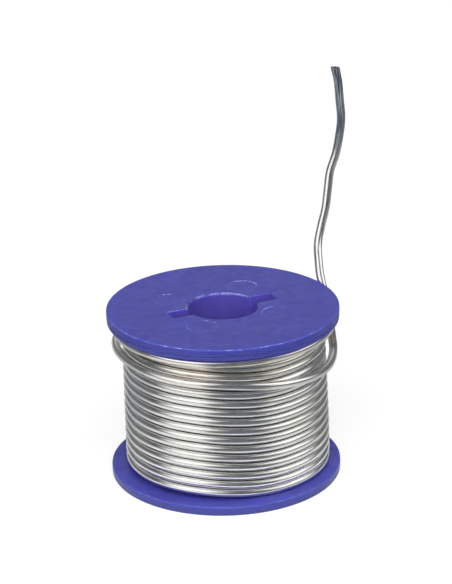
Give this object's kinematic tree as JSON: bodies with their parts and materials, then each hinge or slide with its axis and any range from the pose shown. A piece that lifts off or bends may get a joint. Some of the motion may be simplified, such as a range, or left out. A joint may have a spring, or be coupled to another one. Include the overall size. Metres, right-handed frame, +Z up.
{
  "type": "solder wire spool",
  "caption": "Flanged plastic spool of flux-cored solder wire, with a keyed centre bore, level turns, a slack turn and a free end standing up.",
  "frame": {"origin": "middle of the underside of the bottom flange, on the spool's axis", "axes": "+Z up along the bore, +X along the two drive slots"},
  "size_m": [0.065, 0.053, 0.0878],
  "materials": {
    "spool_plastic": "semi-gloss moulded polystyrene, violet blue, with fine scuffs",
    "solder_alloy": "bright drawn tin-lead alloy",
    "flux_rosin": "brittle amber rosin"
  },
  "bodies": {
    "root": {"spool_body": "spool_plastic", "winding_inner_layers": "solder_alloy", "winding_outer_layer": "solder_alloy", "loose_turns": "solder_alloy", "free_tail": "solder_alloy", "free_tail_flux": "flux_rosin"}
  },
  "joints": []
}
